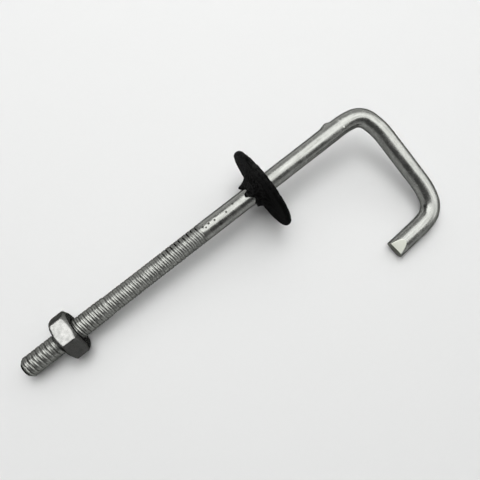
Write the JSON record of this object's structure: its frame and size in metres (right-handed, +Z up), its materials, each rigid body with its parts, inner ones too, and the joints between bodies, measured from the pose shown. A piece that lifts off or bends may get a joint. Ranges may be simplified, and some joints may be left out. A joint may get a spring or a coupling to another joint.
{
  "type": "roofing hook bolt",
  "caption": "Galvanised wire bolt bent to a square hook at one end and threaded at the other, with a hexagon nut and a black sealing washer, lying as it comes to rest.",
  "frame": {"origin": "centre of the bolt's box, on the surface that it lies on", "axes": "+X along the shank towards the hook, +Y away from the hook's leg, +Z up"},
  "size_m": [0.1105, 0.0464, 0.0228],
  "materials": {
    "galvanised_wire": "dull zinc with bright drawn streaks and darker blotches",
    "galvanised_nut": "mottled dull zinc with bright worn edges",
    "black_bitumen": "matt, grainy, with torn edges round the collar"
  },
  "bodies": {
    "bolt": {"hook_bolt": "galvanised_wire"},
    "nut": {"hex_nut": "galvanised_nut"},
    "washer": {"sealing_washer": "black_bitumen"}
  },
  "joints": [
    {"name": "nut_travel", "type": "slide", "parent": "bolt", "child": "nut", "axis": [0.9952, 0, 0.0982], "range_m": [-0.01016, 0.03683]},
    {"name": "washer_slide", "type": "slide", "parent": "bolt", "child": "washer", "axis": [0.9952, 0, 0.0982], "range_m": [-0.013, 0.017]}
  ]
}
